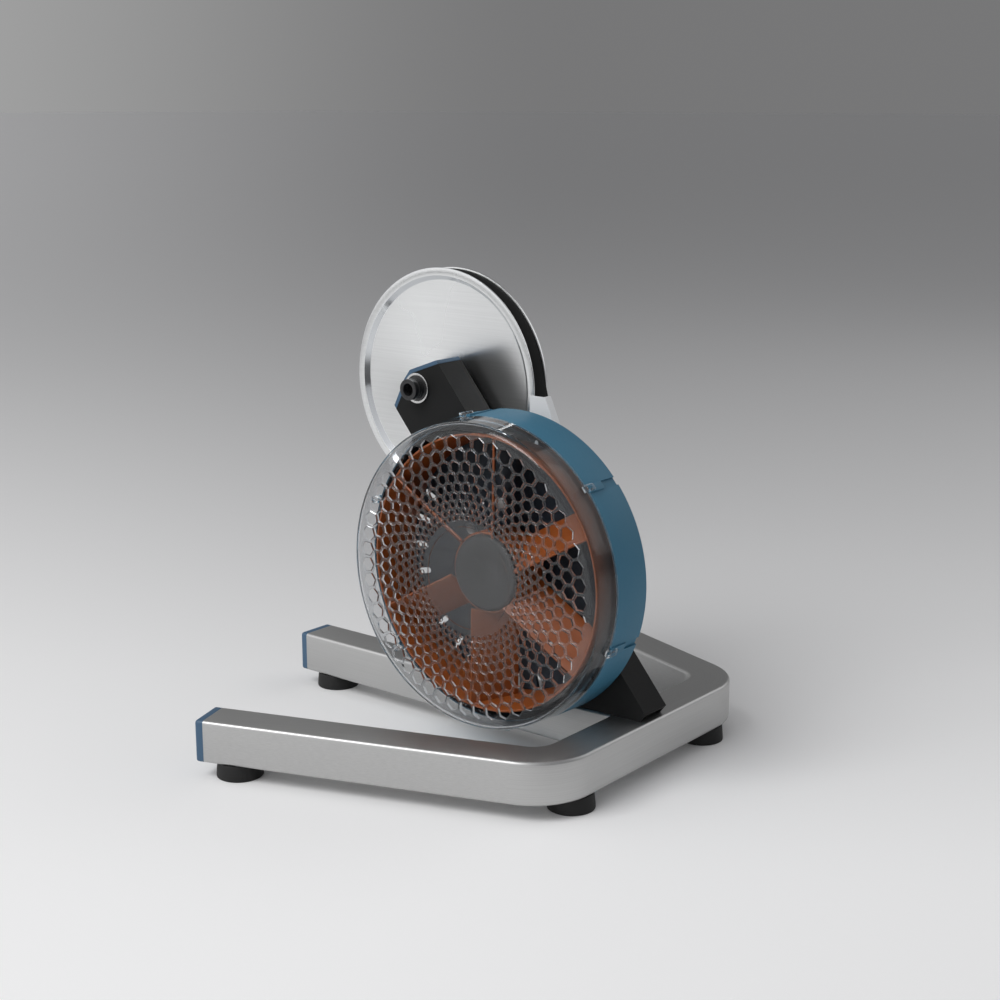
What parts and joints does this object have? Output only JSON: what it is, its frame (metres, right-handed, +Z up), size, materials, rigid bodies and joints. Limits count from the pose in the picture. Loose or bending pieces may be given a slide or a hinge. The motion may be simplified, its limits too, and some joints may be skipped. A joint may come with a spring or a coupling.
{
  "type": "direct drive bike trainer",
  "caption": "Indoor bike trainer that holds the rear axle in place of the wheel and drives a belt-coupled fan brake behind a honeycomb cover.",
  "frame": {"origin": "middle of the footprint's bounding box, on the floor", "axes": "+Z up; +X forward, the way the bicycle faces; +Y to the bicycle's left, along the rear axle, towards the fan side"},
  "size_m": [0.4384, 0.5304, 0.4445],
  "materials": {
    "brushed_tube": "fine lengthwise brushing, clear satin lacquer",
    "blue_cap": "satin moulded plastic",
    "black_rubber": "matte moulded rubber",
    "belt_rubber": "matte ribbed belt",
    "zinc_screw": "zinc plated",
    "black_arm": "fine textured black powder coat",
    "turned_steel": "turned, satin",
    "black_anodised": "black anodised, satin",
    "bearing_steel": "ground and polished",
    "silver_plate": "machined and lightly brushed",
    "pale_guard": "satin pale silver paint",
    "hard_steel": "hardened, satin",
    "sprocket_steel": "nickel plated, satin",
    "blue_shell": "smooth satin paint",
    "clear_cover": "clear moulded plastic with a light smoke tint",
    "grey_hub": "satin moulded plastic",
    "orange_impeller": "semi-gloss moulded plastic"
  },
  "bodies": {
    "frame": {"arm": "black_arm", "arm_top_cap": "blue_cap", "axle_sleeve": "turned_steel", "axle_spacer": "turned_steel", "axle_washer": "turned_steel", "base_tube": "brushed_tube", "belt_guard": "pale_guard", "centre_leg": "brushed_tube", "centre_leg_cap": "blue_cap", "cover_clips": "clear_cover", "drive_belt": "belt_rubber", "fan_bearing_housing": "turned_steel", "fan_bearings": "bearing_steel", "fan_cover": "clear_cover", "fan_shroud": "blue_shell", "foot_screws": "zinc_screw", "freehub_bearings": "bearing_steel", "guard_screws": "zinc_screw", "hub_axle": "turned_steel", "hub_bearings": "bearing_steel", "left_axle_adapter": "black_anodised", "left_leg_cap": "blue_cap", "right_axle_adapter": "black_anodised", "right_leg_cap": "blue_cap", "rubber_feet": "black_rubber", "shroud_screws": "zinc_screw"},
    "pulley": {"pulley_front_plate": "silver_plate", "pulley_drum": "black_anodised", "pulley_rear_plate": "silver_plate", "pulley_screws": "zinc_screw", "ratchet_ring": "hard_steel"},
    "cassette": {"freehub_body": "black_anodised", "ratchet_pawls": "hard_steel", "cassette_spacers": "sprocket_steel", "cassette_lockring": "sprocket_steel", "sprocket_11t": "sprocket_steel", "sprocket_13t": "sprocket_steel", "sprocket_15t": "sprocket_steel", "sprocket_17t": "sprocket_steel", "sprocket_19t": "sprocket_steel", "sprocket_21t": "sprocket_steel", "sprocket_24t": "sprocket_steel", "sprocket_28t": "sprocket_steel"},
    "fan": {"fan_shaft": "turned_steel", "fan_pulley": "silver_plate", "fan_pulley_screw": "zinc_screw", "fan_hub": "grey_hub", "impeller": "orange_impeller"}
  },
  "joints": [
    {"name": "pulley_spin", "type": "hinge", "parent": "frame", "child": "pulley", "pos_m": [0.05325, 0, 0.3325], "axis": [0, 1, 0], "continuous": true},
    {"name": "cassette_freewheel", "type": "hinge", "parent": "pulley", "child": "cassette", "pos_m": [0.05325, 0, 0.3325], "axis": [0, 1, 0], "continuous": true},
    {"name": "fan_spin", "type": "hinge", "parent": "frame", "child": "fan", "pos_m": [-0.07097, 0, 0.18128], "axis": [0, 1, 0], "continuous": true}
  ],
  "couplings": [
    {"joint": "fan_spin", "follows": "pulley_spin", "ratio": 5}
  ]
}
